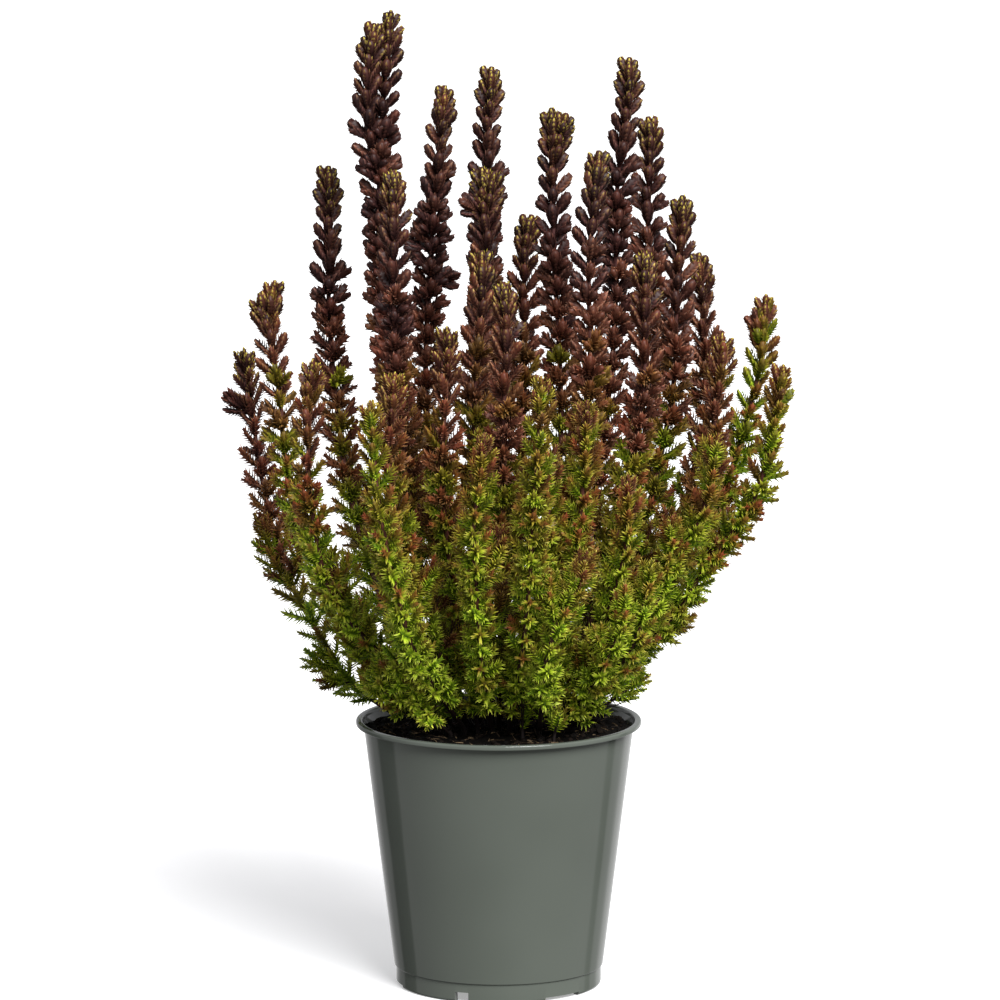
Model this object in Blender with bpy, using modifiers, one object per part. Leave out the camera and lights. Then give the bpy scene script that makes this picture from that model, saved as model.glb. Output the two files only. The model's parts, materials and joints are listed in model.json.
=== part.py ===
"""Potted heather: a plastic pot filled with peat, and the leafy stems that stand in it.

Metres, +Z up. The origin is on the pot's axis at the plane that its foot stands on, and -Y is the
side that is seen first.
"""
import itertools
import math
import random

import bmesh
import bpy
import numpy as np
from mathutils import Matrix, Vector

MM = 0.001

# Driving dimensions of the pot, in millimetres.
POT_HEIGHT = 112.9
RIM_RADIUS = 60.0
RIM_INNER_RADIUS = 57.0
RIM_BAND = 2.1
RIM_EDGE = 0.6
WALL_TOP_RADIUS = 56.8
WALL = 1.0
THROAT = 5.0
STEP_HEIGHT = 8.4
STEP_RADIUS = 44.1
STEP_DROP = 0.6
FOOT_RADIUS = 42.8
FOOT_RING = 2.4
FOOT_FLAT = (39.8, 41.4)
FLOOR_CORNER = 10.0
FLOOR_TOP = 7.2
FLOOR_THICKNESS = 1.4
POT_SIDES = 32

NOTCH_COUNT = 3
NOTCH_TURN = -21.0
NOTCH_REACH = 12.0
NARROW_NOTCH = (6.0, 4.3)
WIDE_NOTCH = (18.0, 1.6)
DRAIN_COUNT = 6
DRAIN_RADIUS = 3.5
DRAIN_CIRCLE = 26.0
DRAIN_SIDES = 8

# Driving dimensions of the peat and of the holes that the stems stand in, in millimetres.
GAP = 0.3
SOIL_LEVEL = 109.0
SOIL_SIDES = 24
SOIL_RINGS = (0.0, 18.0, 36.0)
SOIL_MOUND = (1.2, 36.0)
HOLE_DEPTH = 12.0
HOLE_RADIUS = 1.75
HOLE_SIDES = 5

# Driving dimensions of the stems and of their leafy shoots, in millimetres. A pair of sizes goes from
# the low foliage, at the height LOW, to the spikes, above the height HIGH.
CORE_FOOT_RADIUS = 1.05
CORE_RADIUS = (1.9, 1.6)
CORE_TIP_RADIUS = 0.9
TIP_LENGTH = 3.0
TAPER_LENGTH = 60.0
COLLAR = 3.0
SHOULDER = (0.64, 0.45)
SHOULDERED = 180.0
FOOT_SHARE = (0.30, 0.24)
FOOT_BACK = 4.0
FOOT_SPACING = 5.6
BARE_STEP = 14.0
BARE = 12.0
LOW = 150.0
HIGH = 240.0
WHORL_STEP = (7.8, 6.8)
SHOOT_REACH = (8.0, 6.2)
SHOOT_RISE = 1.5
SHOOT_SWAY = 12.0
SHORTER = (1.0, 0.85, 0.7, 0.55, 0.4)
TWIG_RADIUS = 1.0

SEED = 12

# Looks: base colour, roughness.
POT_LOOK = ("pot_plastic", (0.11, 0.12, 0.105), 0.42)
SOIL_LOOK = ("peat", (0.012, 0.009, 0.006), 0.95)
MAROON_LOOK = ("maroon_foliage", (0.07, 0.025, 0.022), 0.7)
OLIVE_LOOK = ("olive_foliage", (0.10, 0.085, 0.025), 0.7)
GREEN_LOOK = ("green_foliage", (0.14, 0.24, 0.03), 0.65)

# Each stem, in millimetres: its look, the foot in the peat or None for the usual place, the points
# that it grows through from its crown to its tip, and the forks: each the height of the fork and
# the points of the side branch.
STEMS = {
    "tall_stem_01": (MAROON_LOOK, (-42, 9), [(-62, 16, 125), (-74, 22, 142), (-91, 34, 171),
                     (-100, 42, 206), (-105, 45, 241), (-108, 46, 263)],
                     [(236, [(-116, 42, 245)]), (131, [(-83, 18, 135)]), (124, [(-76, 8, 128)])]),
    "tall_stem_02": (MAROON_LOOK, None, [(-79, -7, 190), (-88, -8, 216), (-91, -8, 249),
                     (-95, -8, 279), (-93, -8, 299)], [(272, [(-99, -9, 294)])]),
    "tall_stem_03": (MAROON_LOOK, None, [(-65, -47, 168), (-76, -57, 207), (-78, -61, 237),
                     (-76, -62, 273)], []),
    "tall_stem_04": (MAROON_LOOK, None, [(-63, 47, 200), (-69, 52, 241), (-72, 52, 283),
                     (-72, 52, 340)], []),
    "tall_stem_05": (MAROON_LOOK, None, [(-44, 28, 244), (-50, 28, 310), (-49, 28, 358),
                     (-45, 28, 408)], [(335, [(-55, 25, 365), (-52, 25, 403)])]),
    "tall_stem_06": (MAROON_LOOK, None, [(-41, -40, 255), (-43, -42, 296), (-43, -42, 349)], []),
    "tall_stem_07": (MAROON_LOOK, None, [(-44, -80, 228), (-43, -84, 257), (-42, -84, 271)], []),
    "tall_stem_08": (OLIVE_LOOK, None, [(-46, -94, 205), (-50, -98, 235), (-52, -100, 262)], []),
    "tall_stem_09": (MAROON_LOOK, None, [(-31, 71, 238), (-29, 72, 298), (-25, 72, 349),
                     (-23, 72, 372)], [(301, [(-40, 70, 306)]), (288, [(-17, 73, 292)])]),
    "tall_stem_10": (MAROON_LOOK, None, [(-23, -60, 224), (-21, -62, 266), (-21, -62, 287)], []),
    "tall_stem_11": (MAROON_LOOK, None, [(-10, -28, 252), (-7, -28, 294), (-7, -28, 314)], []),
    "tall_stem_12": (MAROON_LOOK, None, [(-6, 22, 245), (-5, 22, 304), (-7, 22, 343)],
                     [(318, [(-2, 20, 341)]), (324, [(-16, 20, 330)])]),
    "tall_stem_13": (MAROON_LOOK, None, [(-6, 90, 250), (-5, 91, 343), (-3, 92, 378)], []),
    "tall_stem_14": (OLIVE_LOOK, None, [(-10, -90, 208), (-7, -94, 230), (-6, -96, 248)], []),
    "tall_stem_15": (MAROON_LOOK, None, [(2, -64, 240), (3, -66, 283), (2, -66, 306)], []),
    "tall_stem_16": (MAROON_LOOK, None, [(11, 62, 239), (11, 62, 299), (14, 62, 318)], []),
    "tall_stem_17": (MAROON_LOOK, None, [(26, 2, 235), (23, 2, 315), (22, 2, 370)],
                     [(345, [(28, 0, 368)])]),
    "tall_stem_18": (OLIVE_LOOK, None, [(15, -97, 232), (17, -100, 260), (17, -100, 272)], []),
    "tall_stem_19": (OLIVE_LOOK, None, [(20, -70, 204), (20, -76, 227), (19, -78, 242)], []),
    "tall_stem_20": (MAROON_LOOK, None, [(37, -50, 256), (37, -50, 314), (41, -50, 358)], []),
    "tall_stem_21": (OLIVE_LOOK, None, [(31, -63, 190), (35, -70, 230), (36, -72, 258)], []),
    "tall_stem_22": (MAROON_LOOK, None, [(48, 42, 258), (50, 42, 332), (54, 42, 365),
                     (55, 42, 387)], []),
    "tall_stem_23": (OLIVE_LOOK, None, [(50, -54, 185), (53, -60, 206), (53, -62, 226)], []),
    "tall_stem_24": (MAROON_LOOK, None, [(59, -30, 249), (60, -30, 282), (60, -30, 314)], []),
    "tall_stem_25": (MAROON_LOOK, None, [(67, 86, 250), (64, 88, 313), (65, 88, 343),
                     (64, 88, 357)], []),
    "tall_stem_26": (MAROON_LOOK, None, [(72, 22, 241), (75, 22, 292), (77, 22, 331)], []),
    "tall_stem_27": (MAROON_LOOK, None, [(87, 57, 225), (87, 60, 274), (85, 60, 302)], []),
    "tall_stem_28": (MAROON_LOOK, None, [(84, -9, 208), (91, -12, 250), (93, -12, 277)], []),
    "tall_stem_29": (OLIVE_LOOK, None, [(73, -38, 187), (83, -44, 205), (88, -47, 226),
                     (87, -48, 240)], []),
    "tall_stem_30": (MAROON_LOOK, None, [(91, 14, 199), (102, 15, 230), (110, 15, 263),
                     (112, 15, 290)], [(268, [(107, 13, 284)])]),
    "tall_stem_31": (MAROON_LOOK, (37, 8), [(56, -8, 140), (74, -20, 162), (89, -29, 187),
                     (106, -38, 214), (112, -43, 240), (117, -46, 269)],
                     [(150, [(82, -12, 159)])]),
    "spray_01": (GREEN_LOOK, (-33, -6), [(-60, -34, 150), (-63, -38, 170)], []),
    "spray_02": (GREEN_LOOK, (-25, -19), [(-40, -46, 135), (-41, -60, 155), (-36, -66, 172),
                 (-23, -68, 191)], [(165, [(-34, -70, 190)])]),
    "spray_03": (GREEN_LOOK, (-31, -13), [(-46, -40, 130), (-49, -48, 152)],
                 [(128, [(-57, -40, 138)])]),
    "spray_04": (GREEN_LOOK, (-20, -27), [(-33, -42, 126), (-35, -52, 140)],
                 [(122, [(-28, -54, 121)])]),
    "spray_05": (GREEN_LOOK, (-8, -5), [(-18, -24, 150), (-21, -28, 176)], []),
    "spray_06": (GREEN_LOOK, (-19, -15), [(-28, -28, 136), (-25, -34, 154)], []),
    "spray_07": (GREEN_LOOK, (-9, -20), [(-12, -36, 140), (-10, -40, 158)], []),
    "spray_08": (GREEN_LOOK, (17, -25), [(18, -50, 130), (19, -66, 148), (25, -76, 170),
                 (34, -80, 194)], [(163, [(21, -80, 190)])]),
    "spray_09": (GREEN_LOOK, (24, -19), [(38, -44, 134), (44, -58, 148), (50, -66, 164),
                 (52, -68, 182)], [(150, [(39, -66, 164)])]),
    "spray_10": (GREEN_LOOK, (34, -5), [(47, -8, 122), (63, -9, 133)], []),
    "spray_11": (GREEN_LOOK, (10, -33), [(10, -34, 120), (12, -36, 127)], []),
    "spray_12": (GREEN_LOOK, (23, -37), [(24, -38, 118), (25, -39, 125)],
                 [(115, [(28, -38, 124)])]),
    "spray_13": (GREEN_LOOK, (5, -7), [(4, -23, 140), (5, -30, 164)], []),
    "spray_14": (GREEN_LOOK, (31, -13), [(54, -48, 150), (60, -56, 172), (63, -60, 190)], []),
    "back_stem_01": (GREEN_LOOK, None, [(-62, 82, 190), (-66, 86, 218)], []),
    "back_stem_02": (GREEN_LOOK, None, [(-28, 98, 195), (-29, 101, 226)], []),
    "back_stem_03": (GREEN_LOOK, None, [(30, 96, 200), (32, 100, 232)], []),
}


def clear_scene():
    for obj in list(bpy.data.objects):
        bpy.data.objects.remove(obj)


def material(look):
    name, colour, roughness = look
    found = bpy.data.materials.get(name)
    if found:
        return found
    made = bpy.data.materials.new(name)
    made.use_nodes = True
    shader = made.node_tree.nodes["Principled BSDF"]
    shader.inputs["Base Color"].default_value = (*colour, 1.0)
    shader.inputs["Roughness"].default_value = roughness
    shader.inputs["Metallic"].default_value = 0.0
    return made


def new_collection(name):
    made = bpy.data.collections.new(name)
    bpy.context.scene.collection.children.link(made)
    return made


def add_object(name, data, collection, look=None):
    obj = bpy.data.objects.new(name, data)
    collection.objects.link(obj)
    if look:
        data.materials.append(material(look))
    return obj


def as_mesh(obj, weld=True):
    """The object's evaluated shape as a mesh object in its place, with loose caps welded."""
    bpy.context.view_layer.update()
    evaluated = obj.evaluated_get(bpy.context.evaluated_depsgraph_get())
    data = bpy.data.meshes.new_from_object(evaluated)
    shape = bmesh.new()
    shape.from_mesh(data)
    if weld:
        bmesh.ops.remove_doubles(shape, verts=shape.verts, dist=0.00001)
    shape.to_mesh(data)
    shape.free()
    name, place, home = obj.name, obj.matrix_world.copy(), obj.users_collection[0]
    bpy.data.objects.remove(obj)
    made = bpy.data.objects.new(name, data)
    made.matrix_world = place
    home.objects.link(made)
    return made


def turned(name, profile, steps, collection, look):
    """A profile in millimetres, (radius, height) from axis to axis, turned about Z."""
    data = bpy.data.meshes.new(name)
    points = [(r * MM, 0.0, z * MM) for r, z in profile]
    data.from_pydata(points, [(i, i + 1) for i in range(len(points) - 1)], [])
    obj = add_object(name, data, collection, look)
    screw = obj.modifiers.new("turn", "SCREW")
    screw.axis = "Z"
    screw.steps = steps
    screw.render_steps = steps
    screw.use_merge_vertices = True
    screw.merge_threshold = 0.00001
    return obj


def add_boolean(obj, collection, operation, solver="EXACT"):
    mod = obj.modifiers.new(operation.lower(), "BOOLEAN")
    mod.operand_type = "COLLECTION"
    mod.collection = collection
    mod.operation = operation
    mod.solver = solver


def wall_radius(height):
    """The outer radius of the wall, which tapers evenly from under the rim to the step."""
    share = (height - STEP_HEIGHT) / (POT_HEIGHT - RIM_BAND - STEP_HEIGHT)
    return STEP_RADIUS + share * (WALL_TOP_RADIUS - STEP_RADIUS)


def build_pot(parts, cutters):
    top, band_base = POT_HEIGHT, POT_HEIGHT - RIM_BAND
    floor_base = FLOOR_TOP - FLOOR_THICKNESS
    profile = [
        (0.0, FLOOR_TOP), (FOOT_RADIUS - FOOT_RING, FLOOR_TOP),
        (wall_radius(FLOOR_CORNER) - WALL, FLOOR_CORNER),
        (wall_radius(top - THROAT) - WALL, top - THROAT), (RIM_INNER_RADIUS, top - RIM_EDGE),
        (RIM_INNER_RADIUS + RIM_EDGE, top), (RIM_RADIUS - RIM_EDGE, top),
        (RIM_RADIUS, top - RIM_EDGE), (RIM_RADIUS, band_base), (WALL_TOP_RADIUS, band_base),
        (STEP_RADIUS, STEP_HEIGHT), (FOOT_RADIUS, STEP_HEIGHT - STEP_DROP), (FOOT_RADIUS, 2.4),
        (FOOT_RADIUS - 0.5, 0.8), (FOOT_FLAT[1], 0.0), (FOOT_FLAT[0], 0.0),
        (FOOT_FLAT[0] + 0.6, floor_base), (0.0, floor_base),
    ]
    pot = turned("pot", profile, POT_SIDES, parts, POT_LOOK)
    add_boolean(pot, cutters, "DIFFERENCE")
    for i in range(NOTCH_COUNT):
        for turn, (width, height) in ((0.0, NARROW_NOTCH), (180.0 / NOTCH_COUNT, WIDE_NOTCH)):
            angle = math.radians(NOTCH_TURN + turn + i * 360.0 / NOTCH_COUNT - 90.0)
            bpy.ops.mesh.primitive_cube_add(size=1.0)
            notch = bpy.context.object
            notch.name = f"foot_notch_{i}_{int(turn)}"
            notch.scale = (NOTCH_REACH * MM, width * MM, 2.0 * height * MM)
            notch.rotation_euler = (0.0, 0.0, angle)
            notch.location = Vector((math.cos(angle), math.sin(angle), 0.0)) * FOOT_RADIUS * MM
            hide_cutter(notch, cutters)
    for i in range(DRAIN_COUNT):
        angle = math.radians((i + 0.5) * 360.0 / DRAIN_COUNT)
        bpy.ops.mesh.primitive_cylinder_add(
            vertices=DRAIN_SIDES, radius=DRAIN_RADIUS * MM, depth=4.0 * FLOOR_THICKNESS * MM,
            location=(DRAIN_CIRCLE * MM * math.cos(angle), DRAIN_CIRCLE * MM * math.sin(angle),
                      (FLOOR_TOP - FLOOR_THICKNESS / 2.0) * MM))
        drain = bpy.context.object
        drain.name = f"drain_hole_{i}"
        hide_cutter(drain, cutters)


def hide_cutter(obj, cutters):
    for home in list(obj.users_collection):
        home.objects.unlink(obj)
    cutters.objects.link(obj)
    obj.hide_render = True
    obj.display_type = "WIRE"


def soil_height(x, y):
    """The peat's surface in millimetres: a low mound with soft lumps."""
    rise, spread = SOIL_MOUND
    lumps = 0.8 * math.sin(0.21 * x + 1.1) * math.cos(0.24 * y - 0.4)
    lumps += 0.4 * math.sin(0.5 * x - 0.4 * y)
    return SOIL_LEVEL + rise * math.cos(math.hypot(x, y) / spread) + lumps


def build_soil(parts, cutters, feet):
    edge = wall_radius(SOIL_LEVEL) - WALL - GAP
    base = wall_radius(FLOOR_CORNER) - WALL - GAP
    floor = FLOOR_TOP + GAP
    profile = [(r, SOIL_LEVEL) for r in (*SOIL_RINGS, edge)]
    profile += [(base, FLOOR_CORNER + GAP), (FOOT_RADIUS - FOOT_RING - GAP, floor), (0.0, floor)]
    soil = as_mesh(turned("soil", profile, SOIL_SIDES, parts, SOIL_LOOK))
    for vertex in soil.data.vertices:
        x, y, z = vertex.co / MM
        if z > SOIL_LEVEL - 1.0 and math.hypot(x, y) < edge - 1.0:
            vertex.co.z = soil_height(x, y) * MM
    holes = bmesh.new()
    bottom = SOIL_LEVEL - HOLE_DEPTH - GAP
    depth = HOLE_DEPTH + GAP + 8.0
    for foot in feet:
        place = Matrix.Translation(Vector((foot[0], foot[1], bottom + depth / 2.0)) * MM)
        bmesh.ops.create_cone(holes, cap_ends=True, segments=HOLE_SIDES, radius1=HOLE_RADIUS * MM,
                              radius2=HOLE_RADIUS * MM, depth=depth * MM, matrix=place)
    data = bpy.data.meshes.new("stem_holes")
    holes.to_mesh(data)
    holes.free()
    hide_cutter(add_object("stem_holes", data, cutters), cutters)
    add_boolean(soil, cutters, "DIFFERENCE")


def curve_through(points):
    """Points about 2 mm apart along a Catmull-Rom curve through the given points."""
    pts = [Vector(p) for p in points]
    pts = [pts[0] * 2.0 - pts[1]] + pts + [pts[-1] * 2.0 - pts[-2]]
    out = []
    for i in range(1, len(pts) - 2):
        a, b, c, d = pts[i - 1:i + 3]
        count = max(1, round((c - b).length / 2.0))
        for j in range(count):
            t = j / count
            out.append(0.5 * ((2.0 * b) + (c - a) * t + (2.0 * a - 5.0 * b + 4.0 * c - d) * t * t
                              + (3.0 * b - a - 3.0 * c + d) * t * t * t))
    return out + [pts[-2]]


def stem_feet():
    """Where each stem stands: near the middle, under its crown, with room round it."""
    feet = {}
    for name, (_, foot, tops, _) in STEMS.items():
        if foot is None:
            foot = (tops[0][0] * FOOT_SHARE[0], tops[0][1] * FOOT_SHARE[1] + FOOT_BACK)
        feet[name] = Vector(foot)
    for _ in range(200):
        for one, other in itertools.combinations(feet.values(), 2):
            apart = one - other
            if apart.length < FOOT_SPACING:
                push = apart.normalized() * (FOOT_SPACING - apart.length) / 2.0
                one += push
                other -= push
    return feet


def stem_route(foot, tops):
    """The points of a stem: up its hole, out over the shoulder, and on to its tip."""
    crown = Vector(tops[0])
    base = Vector((foot[0], foot[1], SOIL_LEVEL - HOLE_DEPTH))
    collar = Vector((foot[0], foot[1], SOIL_LEVEL + COLLAR))
    points = [collar]
    if crown.z > SHOULDERED:
        out, up = SHOULDER
        points.append(collar + Vector(((crown.x - collar.x) * out, (crown.y - collar.y) * out,
                                       (crown.z - collar.z) * up)))
    points += [Vector(p) for p in tops]
    return [base] + curve_through(points)


def blend(height, low_high):
    """A size that goes from its low value to its high value between the heights LOW and HIGH."""
    share = min(1.0, max(0.0, (height - LOW) / (HIGH - LOW)))
    return low_high[0] + share * (low_high[1] - low_high[0])


class Stations:
    """Places along a route, with a side vector carried along it without twist."""

    def __init__(self, route):
        self.route = route
        self.marks = [0.0]
        self.sides = []
        side = Vector((1.0, 0.0, 0.0))
        for a, b in zip(route, route[1:]):
            along = (b - a).normalized()
            side = (side - along * side.dot(along)).normalized()
            self.sides.append(side)
            self.marks.append(self.marks[-1] + (b - a).length)
        self.length = self.marks[-1]

    def at(self, mark):
        """The place, direction and side at a distance from the start."""
        i = min(len(self.sides), max(1, int(np.searchsorted(self.marks, mark)))) - 1
        a, b = self.route[i], self.route[i + 1]
        share = (mark - self.marks[i]) / (self.marks[i + 1] - self.marks[i])
        return a + (b - a) * share, (b - a).normalized(), self.sides[i]


def ring_marks(stations, bare):
    """Where the rings of a core are: far apart on its bare foot, one to each whorl above."""
    marks, mark = [0.0], 0.0
    while True:
        step = blend(stations.at(mark)[0].z, WHORL_STEP)
        mark += min(BARE_STEP, bare - mark) if mark < bare - 1.0 else step
        if mark > stations.length - 1.5 * TIP_LENGTH:
            return marks + [stations.length - TIP_LENGTH]
        marks.append(mark)


def core_radius(stations, mark, foot_radius):
    """The radius of the core: slim in the soil, fuller among the leaves, and slim at the tip."""
    fuller = blend(stations.at(mark)[0].z, CORE_RADIUS)
    grown = min(1.0, max(0.0, (mark - HOLE_DEPTH - COLLAR) / BARE))
    ended = min(1.0, (stations.length - mark) / TAPER_LENGTH)
    radius = foot_radius + (fuller - foot_radius) * grown
    return min(radius, CORE_TIP_RADIUS + (fuller - CORE_TIP_RADIUS) * ended)


def fin_balls(bottom, top, left, right, tip):
    """The room that one shoot takes: balls from the three lines of its base to its tip."""
    half_width, slack = (left - right).length / 2.0, 0.15
    balls = []
    for share in (0.2, 0.4, 0.6, 0.75, 0.88, 1.0):
        radius = half_width * (1.0 - share) + slack
        for start in (bottom, (bottom + top) / 2.0, top):
            balls.append((start.lerp(tip, share), radius))
    return balls


def leafy_branch(name, stations, marks, foot_radius, bare, owner, room, draw):
    """A branch and its short shoots as one closed mesh, in metres.

    Rings of three points, each turned by 60 degrees from the last, tile the core with rhombic
    faces. Above the bare foot each face is drawn out into a shoot that points up and outwards.
    """
    shape = bmesh.new()
    rings, frames = [], []
    for j, mark in enumerate(marks):
        place, along, side = stations.at(mark)
        other = along.cross(side)
        radius = core_radius(stations, mark, foot_radius)
        ring = []
        for k in range(3):
            angle = math.radians(120.0 * k + 60.0 * (j % 2))
            out = side * math.cos(angle) + other * math.sin(angle)
            ring.append(shape.verts.new(place + out * radius))
        rings.append(ring)
        frames.append((place, along, side, other))
    apex = shape.verts.new(stations.route[-1])

    def beside(j, k):
        """The two points of ring j + 1 on either side of point k of ring j."""
        after = rings[j + 1]
        return (after[k], after[k - 1]) if j % 2 == 0 else (after[(k + 1) % 3], after[k])

    shape.faces.new(reversed(rings[0]))
    last = len(rings) - 1
    fins = []
    for k in range(3):
        left, right = beside(0, k)
        shape.faces.new((rings[0][k], rings[0][(k + 1) % 3], left))
        left, right = beside(last - 1, k)
        shape.faces.new((rings[last - 1][k], left, right))
        shape.faces.new((rings[last][k], rings[last][(k + 1) % 3], apex))
        for j in range(last - 1):
            left, right = beside(j, k)
            face = shape.faces.new((rings[j][k], left, rings[j + 2][k], right))
            if marks[j + 1] >= bare:
                fins.append((j, k, face))
    fins.sort(key=lambda fin: -fin[0])
    for j, k, face in fins:
        place, along, side, other = frames[j + 1]
        angle = math.radians(120.0 * k + 60.0 * (j % 2) + draw.uniform(-SHOOT_SWAY, SHOOT_SWAY))
        out = side * math.cos(angle) + other * math.sin(angle)
        reach = blend(place.z, SHOOT_REACH) * draw.uniform(0.88, 1.08)
        rise = marks[j + 2] - marks[j + 1] + SHOOT_RISE + draw.uniform(-0.8, 0.8)
        bottom, left, top, right = [vertex.co.copy() for vertex in face.verts]
        for share in SHORTER:
            tip = place + out * reach * share + along * rise
            balls = fin_balls(bottom, top, left, right, tip)
            if room.free(balls, owner):
                room.add(balls, owner)
                bmesh.ops.poke(shape, faces=[face])["verts"][0].co = tip
                break
    bmesh.ops.scale(shape, vec=(MM, MM, MM), verts=shape.verts)
    bmesh.ops.recalc_face_normals(shape, faces=shape.faces)
    data = bpy.data.meshes.new(name)
    shape.to_mesh(data)
    shape.free()
    return data


def drop_scraps(obj):
    """Leaves the largest of the object's closed bodies: deletes scraps and fills hollows."""
    shape = bmesh.new()
    shape.from_mesh(obj.data)
    left = set(shape.faces)
    bodies = []
    while left:
        body, edge = [], [next(iter(left))]
        while edge:
            face = edge.pop()
            if face in left:
                left.remove(face)
                body.append(face)
                edge += [other for side in face.edges for other in side.link_faces]
        bodies.append(body)
    bodies.sort(key=len)
    bmesh.ops.delete(shape, geom=[face for body in bodies[:-1] for face in body], context="FACES")
    shape.to_mesh(obj.data)
    shape.free()


class Room:
    """The space that is taken, as balls that belong to stems."""

    def __init__(self):
        self.centres = np.zeros((0, 3))
        self.radii = np.zeros(0)
        self.owners = np.zeros(0, int)

    def add(self, balls, owner):
        self.centres = np.vstack([self.centres, [b[0] for b in balls]])
        self.radii = np.append(self.radii, [b[1] for b in balls])
        self.owners = np.append(self.owners, [owner] * len(balls))

    def free(self, balls, owner):
        """Whether balls of one stem keep clear of all that belongs to the others."""
        places = np.array([ball[0] for ball in balls])
        sizes = np.array([ball[1] for ball in balls])
        reach = 4.0
        low, high = places.min(axis=0) - reach, places.max(axis=0) + reach
        near = ((self.centres > low) & (self.centres < high)).all(axis=1) & (self.owners != owner)
        apart = np.linalg.norm(places[:, None] - self.centres[near][None], axis=2)
        return not (apart < sizes[:, None] + self.radii[near][None] + GAP).any()


def walk(route):
    """Places 1.5 mm apart along a route."""
    stations = Stations(route)
    return [stations.at(mark)[0] for mark in np.arange(0.0, stations.length, 1.5)]


def build_stem(name, look, meshes, parts):
    """One leafy stem: its branches fused into one body."""
    stem = add_object(name, meshes[0], parts, look)
    if len(meshes) > 1:
        pieces = new_collection(name + "_forks")
        for i, data in enumerate(meshes[1:], 1):
            add_object(f"{name}_fork_{i}", data, pieces)
        add_boolean(stem, pieces, "UNION", "MANIFOLD")
        stem = as_mesh(stem, weld=False)
        drop_scraps(stem)
        for obj in list(pieces.objects):
            bpy.data.objects.remove(obj)
        bpy.data.collections.remove(pieces)


def build_heather(parts):
    """All the stems; returns the places of their feet."""
    draw = random.Random(SEED)
    room = Room()
    feet = stem_feet()
    plan = []
    for owner, (name, (look, _, tops, forks)) in enumerate(STEMS.items()):
        routes = [stem_route(feet[name], tops)]
        for height, points in forks:
            root = min(walk(routes[0]), key=lambda place: abs(place.z - height))
            routes.append(curve_through([root] + [Vector(p) for p in points]))
        for route in routes:
            room.add([(place, max(CORE_RADIUS) + 0.1) for place in walk(route)], owner)
        plan.append((owner, name, look, routes))
    for owner, name, look, routes in plan:
        meshes = []
        for i, route in enumerate(routes):
            stations = Stations(route)
            bare = HOLE_DEPTH + BARE if i == 0 else 3.0
            foot_radius = CORE_FOOT_RADIUS if i == 0 else TWIG_RADIUS
            marks = ring_marks(stations, bare)
            meshes.append(leafy_branch(f"{name}_{i}", stations, marks, foot_radius, bare, owner,
                                       room, draw))
        build_stem(name, look, meshes, parts)
    return list(feet.values())


def main():
    clear_scene()
    parts = new_collection("potted_heather")
    pot_cutters = new_collection("pot_cutters")
    soil_cutters = new_collection("soil_cutters")
    build_pot(parts, pot_cutters)
    build_soil(parts, soil_cutters, build_heather(parts))


main()
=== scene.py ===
"""Potted heather: a grey-green plastic pot of peat and the bushy heather that grows in it.

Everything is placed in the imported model's own frame: +Z up, the pot's foot on the floor, -Y the side
that is seen first. Sizes are in millimetres and become metres where a mesh is made.
"""
import json
import math

import bmesh
import bpy
import numpy as np
from mathutils import Matrix, Vector, noise

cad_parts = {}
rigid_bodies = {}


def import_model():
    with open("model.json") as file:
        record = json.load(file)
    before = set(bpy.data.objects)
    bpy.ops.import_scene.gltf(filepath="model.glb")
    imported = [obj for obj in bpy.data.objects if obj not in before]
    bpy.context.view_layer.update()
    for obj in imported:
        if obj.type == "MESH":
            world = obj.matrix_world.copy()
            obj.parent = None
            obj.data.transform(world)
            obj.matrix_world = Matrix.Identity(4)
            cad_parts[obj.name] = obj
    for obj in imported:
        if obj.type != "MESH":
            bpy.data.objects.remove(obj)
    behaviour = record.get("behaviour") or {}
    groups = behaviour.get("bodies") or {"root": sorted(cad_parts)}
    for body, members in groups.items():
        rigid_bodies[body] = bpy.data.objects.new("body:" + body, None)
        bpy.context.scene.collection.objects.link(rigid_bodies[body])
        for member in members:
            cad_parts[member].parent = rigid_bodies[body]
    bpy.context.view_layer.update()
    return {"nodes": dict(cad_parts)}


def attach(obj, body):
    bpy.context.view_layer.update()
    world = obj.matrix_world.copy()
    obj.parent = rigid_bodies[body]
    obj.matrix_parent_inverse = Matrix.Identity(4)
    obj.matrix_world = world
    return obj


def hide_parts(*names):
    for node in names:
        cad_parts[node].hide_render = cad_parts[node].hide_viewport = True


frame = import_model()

MM = 0.001

# The camera
# A long lens three metres off, a little above the plant's tips and looking down on the pot's rim,
# so that the pot's sides hardly converge and the rim shows as a flat ellipse.
CAMERA_PLACE = (0.0, -3.0, 0.6926)
CAMERA_DIP = 9.212
LENS_MM = 261.4
LENS_SHIFT = 0.0014

lens = bpy.data.cameras.new("studio_camera")
lens.lens = LENS_MM
lens.sensor_width = 36.0
lens.shift_x = LENS_SHIFT
lens.clip_end = 50.0
camera = bpy.data.objects.new("studio_camera", lens)
camera.location = CAMERA_PLACE
camera.rotation_euler = (math.radians(90.0 - CAMERA_DIP), 0.0, 0.0)
bpy.context.scene.collection.objects.link(camera)
bpy.context.scene.camera = camera


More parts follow.
